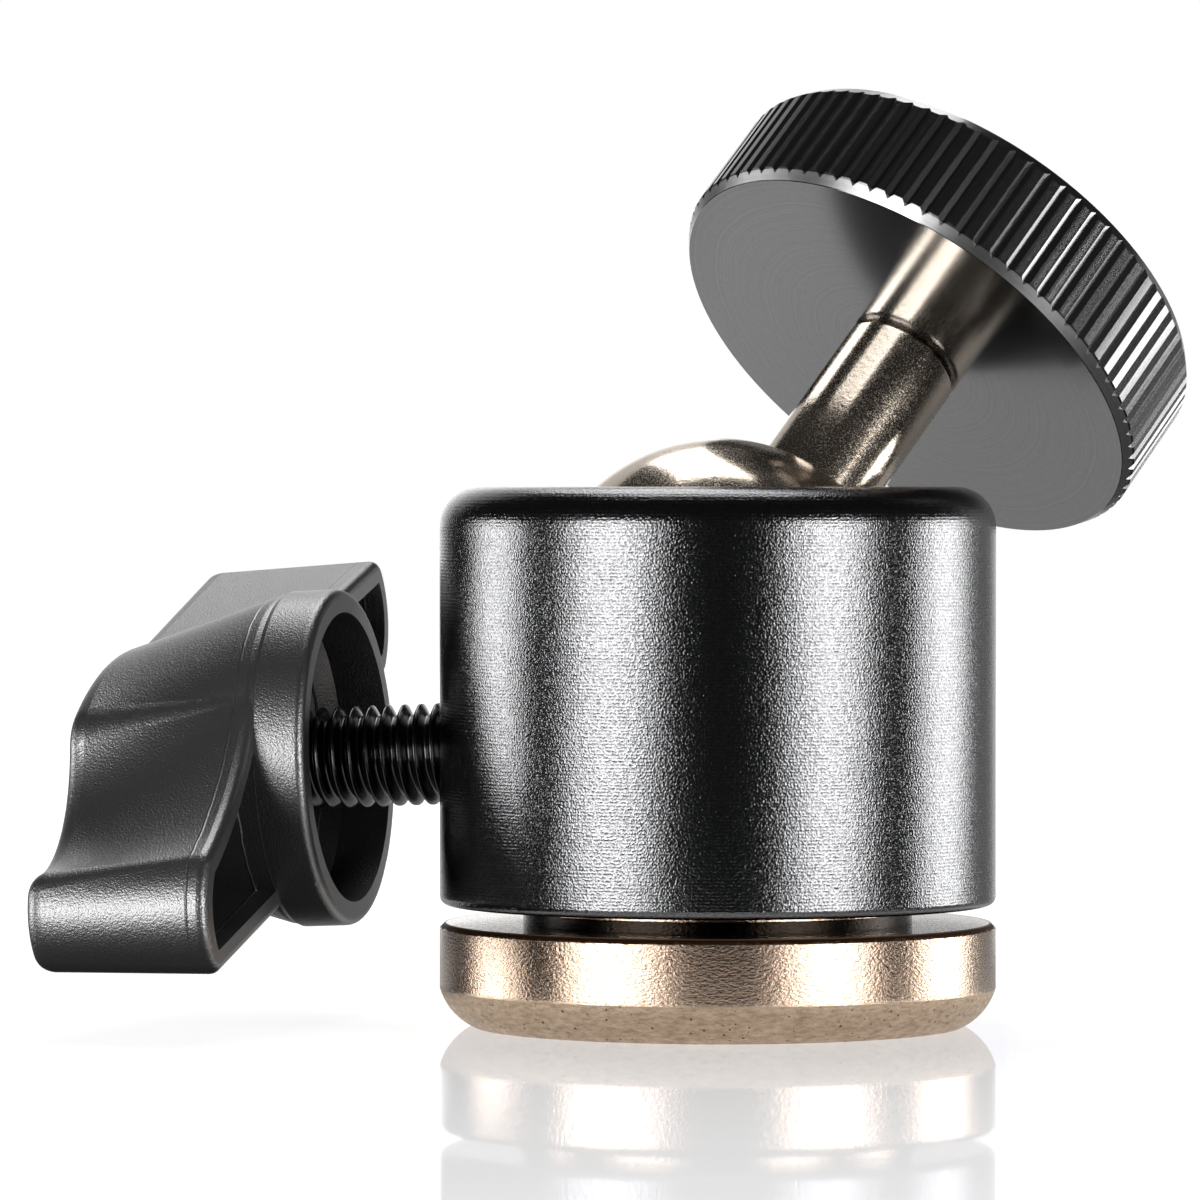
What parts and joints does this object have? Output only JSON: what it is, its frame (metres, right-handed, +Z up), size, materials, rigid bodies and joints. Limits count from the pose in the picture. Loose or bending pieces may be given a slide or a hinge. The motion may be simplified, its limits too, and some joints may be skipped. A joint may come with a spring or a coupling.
{
  "type": "tripod ball head",
  "caption": "Mini tripod ball head: a tilting ball in a notched round housing, a knurled camera disc with a stud, a wing lock knob and a panning base.",
  "frame": {"origin": "centre of the base's underside, at the mouth of the tapped tripod hole, on the pan axis", "axes": "+Z up along the pan axis; +X to the right and +Y away from the viewer, with the lock knob on the left"},
  "size_m": [0.0663, 0.043, 0.0542],
  "materials": {
    "nickel_base": "nickel plated, turned",
    "spring_steel": "plain spring steel",
    "white_acetal": "moulded acetal",
    "black_anodised": "bead-blasted, black anodised",
    "nickel_ball": "polished nickel plate",
    "black_turned": "turned, black anodised",
    "black_rubber": "moulded rubber",
    "brass": "turned brass",
    "black_steel": "black oxide",
    "black_plastic": "moulded, fine texture"
  },
  "bodies": {
    "base": {"base_plate": "nickel_base", "disc_spring": "spring_steel", "lower_ball_seat": "white_acetal"},
    "housing": {"housing": "black_anodised", "upper_seat_ring": "white_acetal"},
    "ball_and_stem": {"ball": "nickel_ball", "camera_stem": "nickel_ball"},
    "camera_disc": {"platform_disc": "black_turned", "rubber_pad": "black_rubber"},
    "tip": {"thrust_tip": "brass"},
    "knob_and_screw": {"knob": "black_plastic", "lock_screw": "black_steel"}
  },
  "joints": [
    {"name": "pan", "type": "hinge", "parent": "base", "child": "housing", "pos_m": [0, 0, 0.007], "axis": [0, 0, 1], "continuous": true},
    {"name": "ball_tilt", "type": "hinge", "parent": "housing", "child": "ball_and_stem", "pos_m": [0, 0, 0.0233], "axis": [-0.6561, 0.7547, 0], "range_deg": [-76, 46.5]},
    {"name": "disc_turn", "type": "hinge", "parent": "ball_and_stem", "child": "camera_disc", "pos_m": [0.01091, 0.00948, 0.03853], "axis": [0.5195, 0.4516, 0.7254], "range_deg": [0, 720]},
    {"name": "tip_travel", "type": "slide", "parent": "housing", "child": "tip", "axis": [-0.9734, 0.2247, -0.0436], "range_m": [0, 0.001]},
    {"name": "knob_turn", "type": "hinge", "parent": "tip", "child": "knob_and_screw", "pos_m": [-0.01559, 0.0036, 0.0155], "axis": [-0.9734, 0.2247, -0.0436], "range_deg": [0, 360]}
  ],
  "couplings": [
    {"joint": "knob_turn", "follows": "tip_travel", "rad_per_m": 6283.2}
  ]
}
